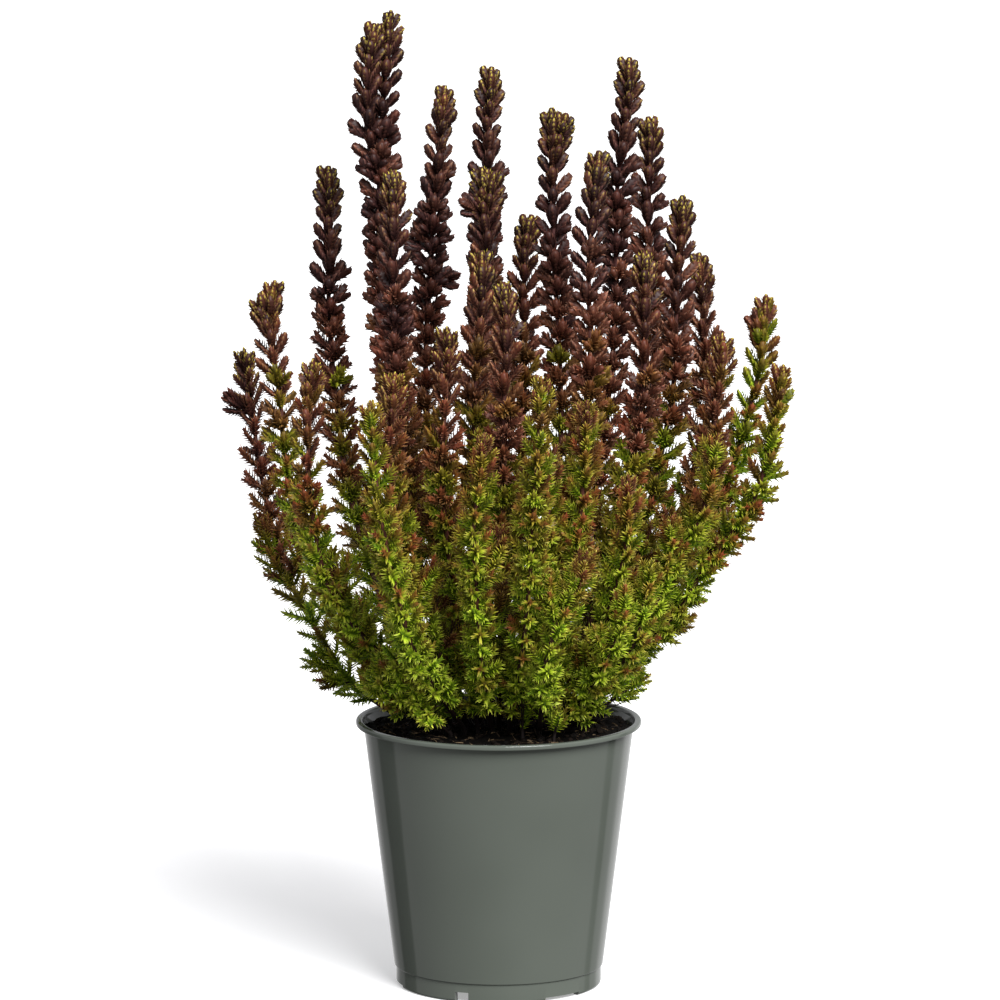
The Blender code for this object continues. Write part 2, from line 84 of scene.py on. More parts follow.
# The pot
# One injection moulding in grey-green polypropylene: a thin tapered wall, a flat turned-out rim, a
# small step above the foot, and notches in the foot ring and holes in the floor that let water out.
POT_HEIGHT = 112.9
RIM_RADIUS = 60.0
RIM_INNER_RADIUS = 57.0
RIM_BAND = 2.1
RIM_ROUND = 0.7
WALL_TOP_RADIUS = 56.8
WALL = 1.0
THROAT = 5.0
STEP_HEIGHT = 8.4
STEP_RADIUS = 44.1
STEP_DROP = 0.4
FOOT_RADIUS = 43.3
FOOT_RING = 2.4
FOOT_FLAT = (39.8, 41.4)
FLOOR_TOP = 7.2
FLOOR_THICKNESS = 1.4
FLOOR_CORNER = 10.0
POT_TURNS = 180
NOTCH_TURN = -21.0
NOTCH_REACH = 12.0
NARROW_NOTCH = (6.0, 4.3)
WIDE_NOTCH = (18.0, 1.6)
DRAIN_COUNT = 6
DRAIN_RADIUS = 3.5
DRAIN_CIRCLE = 26.0


def linear(code):
    """An sRGB hex colour as a linear one."""
    shares = [int(code[i:i + 2], 16) / 255.0 for i in (1, 3, 5)]
    return [s / 12.92 if s <= 0.04045 else ((s + 0.055) / 1.055) ** 2.4 for s in shares] + [1.0]


def new_finish(name, **values):
    """A material, its node tree and its shader, with numbers or hex colours on the shader's sockets."""
    made = bpy.data.materials.new(name)
    made.use_nodes = True
    shader = made.node_tree.nodes["Principled BSDF"]
    for key, value in values.items():
        socket = shader.inputs[key.replace("_", " ")]
        socket.default_value = linear(value) if isinstance(value, str) else value
    return made, made.node_tree, shader


def add(tree, kind, sockets=(), stops=(), **settings):
    """A node with its settings. Each socket is linked if it is given a socket, or else set."""
    node = tree.nodes.new("ShaderNode" + kind)
    for key, value in settings.items():
        setattr(node, key, value)
    for key, value in dict(sockets).items():
        if isinstance(value, bpy.types.NodeSocket):
            tree.links.new(value, node.inputs[key])
        else:
            node.inputs[key].default_value = linear(value) if isinstance(value, str) else value
    for i, (place, colour) in enumerate(stops):
        ramp = node.color_ramp.elements
        stop = ramp[i] if i < 2 else ramp.new(place)
        stop.position = place
        stop.color = linear(colour)
    return node


def add_piece(name, mesh, *finishes):
    made = bpy.data.objects.new(name, mesh)
    bpy.context.scene.collection.objects.link(made)
    for finish in finishes:
        mesh.materials.append(finish)
    return made


def rounded(corners, steps=4):
    """A profile through (radius, height, rounding) corners, each cut by an arc of its rounding."""
    points = []
    for i, (r, z, rounding) in enumerate(corners):
        here = Vector((r, z))
        if rounding == 0.0:
            points.append(here)
            continue
        before = (Vector(corners[i - 1][:2]) - here).normalized()
        after = (Vector(corners[i + 1][:2]) - here).normalized()
        half = before.angle(after) / 2.0
        centre = here + (before + after).normalized() * rounding / math.sin(half)
        start = here + before * rounding / math.tan(half) - centre
        end = here + after * rounding / math.tan(half) - centre
        sweep = start.angle_signed(end)
        for j in range(steps + 1):
            points.append(centre + Matrix.Rotation(-sweep * j / steps, 2) @ start)
    return points


def turned(name, profile, turns):
    """A profile in millimetres turned about the pot's axis, as a mesh object in metres."""
    mesh = bpy.data.meshes.new(name)
    mesh.from_pydata([(p[0] * MM, 0.0, p[1] * MM) for p in profile],
                     [(i, i + 1) for i in range(len(profile) - 1)], [])
    made = add_piece(name, mesh)
    screw = made.modifiers.new("turn", "SCREW")
    screw.steps = screw.render_steps = turns
    screw.use_merge_vertices = True
    screw.merge_threshold = 0.00001
    screw.use_normal_calculate = True
    return made


def applied(piece):
    """The piece with its modifiers applied."""
    graph = bpy.context.evaluated_depsgraph_get()
    mesh = bpy.data.meshes.new_from_object(piece.evaluated_get(graph))
    piece.modifiers.clear()
    piece.data = mesh
    mesh.name = piece.name
    return piece


def wall_radius(height):
    """The outer radius of the wall, which tapers evenly from under the rim to the step."""
    share = (height - STEP_HEIGHT) / (POT_HEIGHT - RIM_BAND - STEP_HEIGHT)
    return STEP_RADIUS + share * (WALL_TOP_RADIUS - STEP_RADIUS)


# Polypropylene straight from a polished mould: an even colour, and a glossy skin that mirrors the
# windows and walls as clear strips at the sides, very slightly wavy from the cooling of the plastic.
def pot_plastic():
    made, tree, shader = new_finish("moulded_polypropylene", Base_Color="#636961", Roughness=0.08,
                                    IOR=1.49)
    place = add(tree, "TexCoord").outputs["Object"]
    drift = add(tree, "TexNoise", {"Vector": place, "Scale": 1 / (45 * MM), "Detail": 1.0})
    tint = add(tree, "ValToRGB", {"Fac": drift.outputs["Fac"]},
               [(0.35, "#61675f"), (0.65, "#656b63")])
    tree.links.new(tint.outputs["Color"], shader.inputs["Base Color"])
    gloss = add(tree, "MapRange", {"Value": drift.outputs["Fac"], "From Min": 0.3, "From Max": 0.7,
                                   "To Min": 0.06, "To Max": 0.1})
    tree.links.new(gloss.outputs["Result"], shader.inputs["Roughness"])
    sink = add(tree, "TexNoise", {"Vector": place, "Scale": 1 / (16 * MM), "Detail": 0.0})
    wave = add(tree, "Bump", {"Height": sink.outputs["Fac"], "Distance": 0.06 * MM, "Strength": 1.0})
    tree.links.new(wave.outputs["Normal"], shader.inputs["Normal"])
    return made


floor_base = FLOOR_TOP - FLOOR_THICKNESS
band_base = POT_HEIGHT - RIM_BAND
pot = turned("moulded_pot", rounded([
    (0.0, FLOOR_TOP, 0.0), (FOOT_RADIUS - FOOT_RING, FLOOR_TOP, 1.5),
    (wall_radius(FLOOR_CORNER) - WALL, FLOOR_CORNER, 1.0),
    (wall_radius(POT_HEIGHT - THROAT) - WALL, POT_HEIGHT - THROAT, 2.0),
    (RIM_INNER_RADIUS, POT_HEIGHT - 1.6, 1.0), (RIM_INNER_RADIUS + 0.4, POT_HEIGHT, 0.7),
    (RIM_RADIUS, POT_HEIGHT, RIM_ROUND), (RIM_RADIUS, band_base, 0.5),
    (WALL_TOP_RADIUS, band_base, 0.4), (STEP_RADIUS, STEP_HEIGHT, 0.3),
    (FOOT_RADIUS, STEP_HEIGHT - STEP_DROP, 0.4), (FOOT_RADIUS, 0.0, 1.3),
    (FOOT_FLAT[0], 0.0, 0.4), (FOOT_FLAT[0] + 0.6, floor_base, 0.5), (0.0, floor_base, 0.0),
]), POT_TURNS)
cutters = bpy.data.collections.new("pot_cutters")
bpy.context.scene.collection.children.link(cutters)


def pot_cutter(name, place, size, turn=0.0, round_one=False):
    shape = bmesh.new()
    if round_one:
        bmesh.ops.create_cone(shape, cap_ends=True, segments=48, radius1=0.5, radius2=0.5, depth=1.0)
    else:
        bmesh.ops.create_cube(shape, size=1.0)
    mesh = bpy.data.meshes.new(name)
    shape.to_mesh(mesh)
    shape.free()
    cutter = bpy.data.objects.new(name, mesh)
    cutter.matrix_world = Matrix.LocRotScale(Vector(place) * MM, Matrix.Rotation(turn, 3, "Z"),
                                             Vector(size) * MM)
    cutters.objects.link(cutter)


for i in range(6):
    width, height = NARROW_NOTCH if i % 2 == 0 else WIDE_NOTCH
    angle = math.radians(NOTCH_TURN + 60.0 * i - 90.0)
    place = (FOOT_RADIUS * math.cos(angle), FOOT_RADIUS * math.sin(angle), 0.0)
    pot_cutter(f"notch_{i}", place, (NOTCH_REACH, width, 2.0 * height), angle)
for i in range(DRAIN_COUNT):
    angle = math.radians((i + 0.5) * 360.0 / DRAIN_COUNT)
    place = (DRAIN_CIRCLE * math.cos(angle), DRAIN_CIRCLE * math.sin(angle), FLOOR_TOP)
    pot_cutter(f"drain_{i}", place, (2 * DRAIN_RADIUS, 2 * DRAIN_RADIUS, 8.0), round_one=True)
cut = pot.modifiers.new("openings", "BOOLEAN")
cut.operand_type = "COLLECTION"
cut.collection = cutters
cut.solver = "EXACT"
applied(pot)
for cutter in list(cutters.objects):
    bpy.data.objects.remove(cutter)
bpy.data.collections.remove(cutters)
pot.data.materials.append(pot_plastic())
pot.data.shade_smooth()
pot.data.set_sharp_from_angle(angle=math.radians(40.0))
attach(pot, "root")
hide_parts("pot")


# The peat
# Dark, damp bedding peat, filled to just under the rim and crumbly on top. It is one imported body
# that holds the shape of the pot.
GAP = 0.3
SOIL_LEVEL = 109.0
SOIL_MOUND = (1.2, 36.0)
SOIL_RINGS = 56
SOIL_SPOKES = 160
CRUMB_HEIGHT = 1.1


def soil_height(x, y):
    """The peat's surface: the CAD body's low mound and soft lumps, with crumbs of about 3 mm."""
    rise, spread = SOIL_MOUND
    lumps = 0.8 * math.sin(0.21 * x + 1.1) * math.cos(0.24 * y - 0.4)
    lumps += 0.4 * math.sin(0.5 * x - 0.4 * y)
    crumbs = noise.fractal((x / 3.0, y / 3.0, 0.0), 0.9, 2.0, 4)
    return SOIL_LEVEL + rise * math.cos(math.hypot(x, y) / spread) + lumps + CRUMB_HEIGHT * crumbs


def peat_finish():
    made, tree, shader = new_finish("damp_peat", Roughness=0.9, Specular_IOR_Level=0.12)
    place = add(tree, "TexCoord").outputs["Object"]
    grain = add(tree, "TexNoise", {"Vector": place, "Scale": 1 / (2.2 * MM), "Detail": 6.0,
                                   "Roughness": 0.65})
    tint = add(tree, "ValToRGB", {"Fac": grain.outputs["Fac"]},
               [(0.3, "#040302"), (0.75, "#1e1710"), (0.52, "#0b0806")])
    tree.links.new(tint.outputs["Color"], shader.inputs["Base Color"])
    bump = add(tree, "Bump", {"Height": grain.outputs["Fac"], "Distance": 0.5 * MM,
                              "Strength": 0.7})
    tree.links.new(bump.outputs["Normal"], shader.inputs["Normal"])
    return made


def peat_body():
    edge = wall_radius(SOIL_LEVEL) - WALL - GAP
    base = wall_radius(FLOOR_CORNER) - WALL - GAP
    floor = FLOOR_TOP + GAP
    rings = [(edge * (i + 1) / SOIL_RINGS, None) for i in range(SOIL_RINGS)]
    rings += [(base, FLOOR_CORNER + GAP), (FOOT_RADIUS - FOOT_RING - GAP, floor)]
    points = [(0.0, 0.0, soil_height(0.0, 0.0))]
    for r, z in rings:
        for j in range(SOIL_SPOKES):
            a = 2.0 * math.pi * j / SOIL_SPOKES
            x, y = r * math.cos(a), r * math.sin(a)
            points.append((x, y, soil_height(x, y) if z is None else z))
    last = len(points)
    points.append((0.0, 0.0, floor))
    around = [(j, (j + 1) % SOIL_SPOKES) for j in range(SOIL_SPOKES)]
    faces = [(0, 1 + j, 1 + k) for j, k in around]
    for i in range(len(rings) - 1):
        a, b = 1 + i * SOIL_SPOKES, 1 + (i + 1) * SOIL_SPOKES
        faces += [(a + j, b + j, b + k, a + k) for j, k in around]
    b = 1 + (len(rings) - 1) * SOIL_SPOKES
    faces += [(b + k, b + j, last) for j, k in around]
    mesh = bpy.data.meshes.new("packed_peat")
    mesh.from_pydata([(x * MM, y * MM, z * MM) for x, y, z in points], [], faces)
    mesh.shade_smooth()
    return mesh


peat_look = peat_finish()
peat = add_piece("packed_peat", peat_body(), peat_look)
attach(peat, "root")
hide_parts("soil")


# The leafy stems
# Each stem is a woody core with pairs of short leafy shoots, each pair turned a quarter from the
# last. Low down the leaves are green needles that stand off in rows. Up the spikes they are small
# purple scales, pressed together into buds that are yellow at the tips of the young growth.
GREEN, OLIVE, MAROON = "green_foliage", "olive_foliage", "maroon_foliage"

# The same stems as in the solid model, in millimetres: the look, the points from the crown to the
# tip, and the forks: each the height of the fork and the points of the side branch.
STEMS = {
    "tall_stem_01": (MAROON, [(-62, 16, 125), (-74, 22, 142), (-91, 34, 171), (-100, 42, 206),
                              (-105, 45, 241), (-108, 46, 263)],
                     [(236, [(-116, 42, 245)]), (131, [(-83, 18, 135)]), (124, [(-76, 8, 128)])]),
    "tall_stem_02": (MAROON, [(-79, -7, 190), (-88, -8, 216), (-91, -8, 249), (-95, -8, 279),
                              (-93, -8, 299)], [(272, [(-99, -9, 294)])]),
    "tall_stem_03": (MAROON, [(-65, -47, 168), (-76, -57, 207), (-78, -61, 237),
                              (-76, -62, 273)], []),
    "tall_stem_04": (MAROON, [(-63, 47, 200), (-69, 52, 241), (-72, 52, 283), (-72, 52, 340)], []),
    "tall_stem_05": (MAROON, [(-44, 28, 244), (-50, 28, 310), (-49, 28, 358), (-45, 28, 408)],
                     [(335, [(-55, 25, 365), (-52, 25, 403)])]),
    "tall_stem_06": (MAROON, [(-41, -40, 255), (-43, -42, 296), (-43, -42, 349)], []),
    "tall_stem_07": (MAROON, [(-44, -80, 228), (-43, -84, 257), (-42, -84, 271)], []),
    "tall_stem_08": (OLIVE, [(-46, -94, 205), (-50, -98, 235), (-52, -100, 262)], []),
    "tall_stem_09": (MAROON, [(-31, 71, 238), (-29, 72, 298), (-25, 72, 349), (-23, 72, 372)],
                     [(301, [(-40, 70, 306)]), (288, [(-17, 73, 292)])]),
    "tall_stem_10": (MAROON, [(-23, -60, 224), (-21, -62, 266), (-21, -62, 287)], []),
    "tall_stem_11": (MAROON, [(-10, -28, 252), (-7, -28, 294), (-7, -28, 314)], []),
    "tall_stem_12": (MAROON, [(-6, 22, 245), (-5, 22, 304), (-7, 22, 343)],
                     [(318, [(-2, 20, 341)]), (324, [(-16, 20, 330)])]),
    "tall_stem_13": (MAROON, [(-6, 90, 250), (-5, 91, 343), (-3, 92, 378)], []),
    "tall_stem_14": (OLIVE, [(-10, -90, 208), (-7, -94, 230), (-6, -96, 248)], []),
    "tall_stem_15": (MAROON, [(2, -64, 240), (3, -66, 283), (2, -66, 306)], []),
    "tall_stem_16": (MAROON, [(11, 62, 239), (11, 62, 299), (14, 62, 318)], []),
    "tall_stem_17": (MAROON, [(26, 2, 235), (23, 2, 315), (22, 2, 370)], [(345, [(28, 0, 368)])]),
    "tall_stem_18": (OLIVE, [(15, -97, 232), (17, -100, 260), (17, -100, 272)], []),
    "tall_stem_19": (OLIVE, [(20, -70, 204), (20, -76, 227), (19, -78, 242)], []),
    "tall_stem_20": (MAROON, [(37, -50, 256), (37, -50, 314), (41, -50, 358)], []),
    "tall_stem_21": (OLIVE, [(31, -63, 190), (35, -70, 230), (36, -72, 258)], []),
    "tall_stem_22": (MAROON, [(48, 42, 258), (50, 42, 332), (54, 42, 365), (55, 42, 387)], []),
    "tall_stem_23": (OLIVE, [(50, -54, 185), (53, -60, 206), (53, -62, 226)], []),
    "tall_stem_24": (MAROON, [(59, -30, 249), (60, -30, 282), (60, -30, 314)], []),
    "tall_stem_25": (MAROON, [(67, 86, 250), (64, 88, 313), (65, 88, 343), (64, 88, 357)], []),
    "tall_stem_26": (MAROON, [(72, 22, 241), (75, 22, 292), (77, 22, 331)], []),
    "tall_stem_27": (MAROON, [(87, 57, 225), (87, 60, 274), (85, 60, 302)], []),
    "tall_stem_28": (MAROON, [(84, -9, 208), (91, -12, 250), (93, -12, 277)], []),
    "tall_stem_29": (OLIVE, [(73, -38, 187), (83, -44, 205), (88, -47, 226), (87, -48, 240)], []),
    "tall_stem_30": (MAROON, [(91, 14, 199), (102, 15, 230), (110, 15, 263), (112, 15, 290)],
                     [(268, [(107, 13, 284)])]),
    "tall_stem_31": (MAROON, [(56, -8, 140), (74, -20, 162), (89, -29, 187), (106, -38, 214),
                              (112, -43, 240), (117, -46, 269)], [(150, [(82, -12, 159)])]),
    "spray_01": (GREEN, [(-60, -34, 150), (-63, -38, 170)], []),
    "spray_02": (GREEN, [(-40, -46, 135), (-41, -60, 155), (-36, -66, 172), (-23, -68, 191)],
                 [(165, [(-34, -70, 190)])]),
    "spray_03": (GREEN, [(-46, -40, 130), (-49, -48, 152)], [(128, [(-57, -40, 138)])]),
    "spray_04": (GREEN, [(-33, -42, 126), (-35, -52, 140)], [(122, [(-28, -54, 121)])]),
    "spray_05": (GREEN, [(-18, -24, 150), (-21, -28, 176)], []),
    "spray_06": (GREEN, [(-28, -28, 136), (-25, -34, 154)], []),
    "spray_07": (GREEN, [(-12, -36, 140), (-10, -40, 158)], []),
    "spray_08": (GREEN, [(18, -50, 130), (19, -66, 148), (25, -76, 170), (34, -80, 194)],
                 [(163, [(21, -80, 190)])]),
    "spray_09": (GREEN, [(38, -44, 134), (44, -58, 148), (50, -66, 164), (52, -68, 182)],
                 [(150, [(39, -66, 164)])]),
    "spray_10": (GREEN, [(47, -8, 122), (63, -9, 133)], []),
    "spray_11": (GREEN, [(10, -34, 120), (12, -36, 127)], []),
    "spray_12": (GREEN, [(24, -38, 118), (25, -39, 125)], [(115, [(28, -38, 124)])]),
    "spray_13": (GREEN, [(4, -23, 140), (5, -30, 164)], []),
    "spray_14": (GREEN, [(54, -48, 150), (60, -56, 172), (63, -60, 190)], []),
    "back_stem_01": (GREEN, [(-62, 82, 190), (-66, 86, 218)], []),
    "back_stem_02": (GREEN, [(-28, 98, 195), (-29, 101, 226)], []),
    "back_stem_03": (GREEN, [(30, 96, 200), (32, 100, 232)], []),
}
COLLAR = 3.0
SHOULDER = (0.64, 0.45)
SHOULDERED = 180.0
STEP_MM = 3.5

# Sizes that change from the green shoots of needles to the purple buds of scales: the number of
# whorls, the heights of the lowest and the highest leaf tip, how far below its tip a leaf starts, the
# radius that the tips reach at four places up the shoot, the leaf's width and keel, and the radius of
# the shoot's own stem and of the tight inner leaves round it. These are coloured dark as painted shade
# between the needles.
NEEDLES = dict(whorls=16, low=1.4, high=9.6, rise=1.6, reach=(2.3, 3.0, 2.9, 1.2), width=1.0,
               keel=0.5, twist=20.0, core=(0.4, 0.8, 0.8, 0.4))
SCALES = dict(whorls=11, low=2.0, high=9.3, rise=1.9, reach=(1.5, 2.15, 2.4, 1.1), width=2.0,
              keel=0.6, twist=9.0, core=(0.4, 1.5, 1.8, 0.8))
SPARSE = 0.6
REACH_AT = (0.0, 0.4, 0.75, 1.0)
CORE_AT = (0.0, 0.3, 0.72, 0.94)
INNER_SIDES = (3, 4)
ROOT_DEPTH = 0.45
STAGES = 5
VARIANTS = 5
GREEN_BELOW = 175.0
PURPLE_ABOVE = 310.0

# A leaf is widest at its foot, which is hidden inside the shoot, and runs to a point. Its foot is a
# triangle: left, right and back.
LEAF = np.array([(0, 2, 1), (0, 1, 3), (1, 2, 3), (2, 0, 3)])
LEAF_ALONG = np.array([0.0, 0.0, 0.0, 1.0])


def leaf_points(foot, tip, width, keel):
    """The points of a leaf as (outwards, sideways, upwards), with foot and tip as (radius, height)."""
    run = np.array([tip[0] - foot[0], 0.0, tip[1] - foot[1]])
    back = np.array([run[2], 0.0, -run[0]]) / np.linalg.norm(run)
    side = np.array([0.0, 0.5 * width, 0.0])
    start = np.array([foot[0], 0.0, foot[1]])
    return np.array([start - side, start + side, start + keel * back, start + run])


def mixed(stage):
    """The sizes between a shoot of needles, at stage 0, and a bud of scales, at stage 1."""
    return {key: np.array(NEEDLES[key]) * (1.0 - stage) + np.array(SCALES[key]) * stage
            for key in NEEDLES}


def short_shoot(stage, share_left, draw):
    """One short shoot along +Z as (points, triangles, marks), with a share of its leaves left. Marks
    are each point's place along its leaf, its leaf's place along the shoot, and a random tone."""
    size = mixed(stage)
    whorls = int(round(float(size["whorls"]) * share_left))
    points, faces, marks = [], [], []
    for i in range(whorls):
        share = i / (whorls - 1)
        for half in range(2):
            twist = draw.uniform(-size["twist"], size["twist"])
            turn = math.radians(90.0 * i + 180.0 * half + twist)
            height = size["low"] + share * (size["high"] - size["low"]) + draw.uniform(-0.25, 0.25)
            reach = np.interp(share, REACH_AT, size["reach"]) * draw.uniform(0.93, 1.07)
            low = height - size["rise"]
            root = max(0.1, np.interp(low / size["high"], CORE_AT, size["core"]) - ROOT_DEPTH)
            leaf = leaf_points((root, low), (reach, height),
                               size["width"] * (1.0 - 0.3 * share ** 4), size["keel"])
            c, s = math.cos(turn), math.sin(turn)
            faces.append(LEAF + len(leaf) * len(points))
            points.append(leaf @ np.array([(c, s, 0.0), (-s, c, 0.0), (0.0, 0.0, 1.0)]))
            marks.append(np.column_stack([LEAF_ALONG, np.full(len(leaf), share),
                                          np.full(len(leaf), draw.random())]))
    # The tight inner leaves round the shoot's stem are marked as lying near a leaf's foot, so they take
    # its dark colour. This is painted shade that fills the gaps between the needles.
    start = len(LEAF_ALONG) * len(points)
    n = INNER_SIDES[int(stage > 0.5)]
    turns = np.arange(n) * 2.0 * math.pi / n
    inner = [(r * math.cos(a), r * math.sin(a), at * size["high"])
             for at, r in zip(CORE_AT, size["core"]) for a in turns]
    last = n * (len(CORE_AT) - 1)
    tube = [(last, last + j, last + j + 1) for j in range(1, n - 1)]
    tube += [(0, j + 1, j) for j in range(1, n - 1)]
    for ring in range(0, last, n):
        for j in range(n):
            k = (j + 1) % n
            tube += [(ring + j, ring + k, ring + n + k), (ring + j, ring + n + k, ring + n + j)]
    faces.append(np.array(tube) + start)
    points.append(np.array(inner))
    marks.append(np.column_stack([np.full(len(inner), 0.1), np.repeat(CORE_AT, n),
                                  np.full(len(inner), 0.4)]))
    return np.vstack(points), np.vstack(faces), np.vstack(marks)


def curve_through(points):
    """Points a few millimetres apart along a Catmull-Rom curve through the given points."""
    pts = [Vector(p) for p in points]
    pts = [pts[0] * 2.0 - pts[1]] + pts + [pts[-1] * 2.0 - pts[-2]]
    out = []
    for i in range(1, len(pts) - 2):
        a, b, c, d = pts[i - 1:i + 3]
        count = max(1, round((c - b).length / STEP_MM))
        for j in range(count):
            t = j / count
            out.append(0.5 * ((2.0 * b) + (c - a) * t + (2.0 * a - 5.0 * b + 4.0 * c - d) * t * t
                              + (3.0 * b - a - 3.0 * c + d) * t * t * t))
    return out + [pts[-2]]


def foot_of(name):
    """Where a stem's solid stands in the peat: the middle of its lowest face."""
    places = [v.co for v in frame["nodes"][name].data.vertices]
    low = min(p.z for p in places) + 1.0 * MM
    ring = [p for p in places if p.z < low]
    return sum(ring, Vector()) / len(ring) / MM


def stem_route(name, tops):
    """The points of a stem: up from the peat, out over the shoulder, and on to its tip."""
    foot = foot_of(name)
    crown = Vector(tops[0])
    collar = Vector((foot.x, foot.y, SOIL_LEVEL + COLLAR))
    points = [collar]
    if crown.z > SHOULDERED:
        out, up = SHOULDER
        points.append(collar + Vector(((crown.x - collar.x) * out, (crown.y - collar.y) * out,
                                       (crown.z - collar.z) * up)))
    return [foot] + curve_through(points + [Vector(p) for p in tops])


class Growth:
    """What one stem's mesh is put together from."""

    def __init__(self):
        self.points, self.faces, self.leaf, self.shoot, self.finish = [], [], [], [], []
        self.count = 0

    def put(self, points, faces, leaf, shoot, finish):
        self.faces.append(faces + self.count)
        self.points.append(points)
        self.leaf.append(leaf)
        self.shoot.append(np.broadcast_to(shoot, points.shape))
        self.finish.append(np.full(len(faces), finish))
        self.count += len(points)

    def mesh(self, name):
        made = bpy.data.meshes.new(name)
        made.from_pydata(np.vstack(self.points) * MM, [], np.vstack(self.faces).tolist())
        for key, rows in (("leaf", self.leaf), ("shoot", self.shoot)):
            layer = made.attributes.new(key, "FLOAT_VECTOR", "POINT")
            layer.data.foreach_set("vector", np.vstack(rows).ravel())
        made.polygons.foreach_set("material_index", np.concatenate(self.finish))
        made.shade_smooth()
        made.set_sharp_from_angle(angle=math.radians(SHARP_EDGE))
        return made


def frames_along(route):
    """Places, directions, sides and distances along a route, with the side carried without twist."""
    places = np.array([tuple(p) for p in route])
    runs = np.diff(places, axis=0)
    marks = np.concatenate([[0.0], np.cumsum(np.linalg.norm(runs, axis=1))])
    along = np.vstack([runs, runs[-1:]])
    along /= np.linalg.norm(along, axis=1)[:, None]
    sides, side = [], np.array([1.0, 0.0, 0.0])
    for direction in along:
        side = side - direction * (side @ direction)
        side /= np.linalg.norm(side)
        sides.append(side)
    return places, along, np.array(sides), marks


# By the distance below the tip: how far the shoots open, how much bigger they are, how many have a
# smaller pair at their foot, and how far apart the whorls are.
END_SHOOT = 7.2
FIRST_WHORL = 8.0
OPENING_AT, OPENING = (8.0, 16.0, 48.0, 125.0), (27.0, 35.0, 39.0, 44.0)
BIGGER_AT, BIGGER = (8.0, 20.0, 58.0, 118.0), (1.0, 1.12, 1.28, 1.28)
TWINS_AT, TWINS = (38.0, 62.0), (0.0, 1.0)
LOW_TWINS_AT, LOW_TWINS = (150.0, 225.0), (0.45, 1.0)
WHORLS_AT, WHORL_STEP = (10.0, 17.0, 25.0, 38.0, 68.0), (2.2, 3.0, 3.8, 4.5, 4.9)
FRESH_REACH = 11.0
FLUSH_REACH = 26.0
FLUSH = (0.3, 0.75)
BLUSH_AT, BLUSH = (135.0, 195.0), (0.3, 1.0)
RIPENING = 12.0
EDGE_FROM, EDGE_RIPE = 100.0, -0.45
CORE_SIDES = 6
CORE_RADII = (1.2, 0.9, 0.45)
BEND = 0.008
SHARP_EDGE = 85.0
TWIG = 20.0
TURNED = 0.3
BARE = {GREEN: 14.0, OLIVE: 22.0, MAROON: 26.0}
SIDE_BRANCHES = {GREEN: 1, OLIVE: 2, MAROON: 3}
BRANCHES_FROM = (122.0, 190.0)
BRANCH_RISE = (18.0, 34.0)
BRANCH_OUT = 0.45

# How far out the bush reaches at some heights. Deep inside it the old shoots have mostly dropped, and
# only dark bare stems are left, up to where the light comes in from above.
BUSH_AT, BUSH_RADIUS = (110.0, 140.0, 170.0, 200.0, 230.0), (46.0, 62.0, 78.0, 88.0, 95.0)
SHADED, KEPT = (0.45, 0.85), (0.45, 1.0)
OPEN_ABOVE = (180.0, 210.0)
NEAR_PEAT = (118.0, 132.0)
THINNED = 0.7
DEAD_TWIG = (6.0, 15.0)


def put_core(growth, places, along, sides, marks, thick):
    """The woody core: a tube that thins towards the tip."""
    left = marks[-1] - marks
    radius = thick * np.interp(left, (0.0, 25.0, 150.0), CORE_RADII[::-1])
    others = np.cross(along, sides)
    angles = np.arange(CORE_SIDES) * 2.0 * math.pi / CORE_SIDES
    ring = sides[:, None] * np.cos(angles)[:, None] + others[:, None] * np.sin(angles)[:, None]
    points = (places[:, None] + ring * radius[:, None, None]).reshape(-1, 3)
    faces = []
    for i in range(len(places) - 1):
        for j in range(CORE_SIDES):
            k = (j + 1) % CORE_SIDES
            a, b = i * CORE_SIDES, (i + 1) * CORE_SIDES
            faces += [(a + j, a + k, b + k), (a + j, b + k, b + j)]
    for j in range(1, CORE_SIDES - 1):
        b = (len(places) - 1) * CORE_SIDES
        faces += [(0, j + 1, j), (b, b + j, b + j + 1)]
    leaf = np.column_stack([np.zeros(len(points)), np.repeat(marks / marks[-1], CORE_SIDES),
                            np.full(len(points), 0.5)])
    growth.put(points, np.array(faces), leaf, (0.0, 0.0, 0.0), 0)


def kept(place):
    """The share of the shoots that the light has kept alive at a place in the bush."""
    out = math.hypot(place[0], place[1]) / np.interp(place[2], BUSH_AT, BUSH_RADIUS)
    share = np.interp(out, SHADED, KEPT)
    share += (1.0 - share) * np.interp(place[2], OPEN_ABOVE, (0.0, 1.0))
    if math.hypot(place[0], place[1]) < RIM_INNER_RADIUS:
        share *= np.interp(place[2], NEAR_PEAT, (0.1, 1.0))
    return share


def put_shoot(growth, draw, base, axis, outward, size, bend, look, full=True):
    """One short shoot, with its foot at base, leaning along axis and bowed back towards the stem."""
    form, shares = look
    stage = int(np.clip(round(form * (STAGES - 1) + draw.normal(0.0, 0.35)), 0, STAGES - 1))
    shoots = SHOOTS if full and kept(base) > THINNED else SPARSE_SHOOTS
    points, faces, leaf = shoots[stage][draw.integers(VARIANTS)]
    turn = draw.uniform(-0.3, 0.3)
    side = np.cross(axis, outward)
    x = outward * math.cos(turn) + side * math.sin(turn)
    y = side * math.cos(turn) - outward * math.sin(turn)
    local = points * size
    leaf = leaf * (1.0, 1.0, 0.5) + (0.0, 0.0, 0.5 * draw.random())
    placed = base + local[:, :1] * x + local[:, 1:2] * y + local[:, 2:] * axis
    placed = placed - outward * (bend * local[:, 2:] ** 2)
    growth.put(placed, faces, leaf, shares, 1)


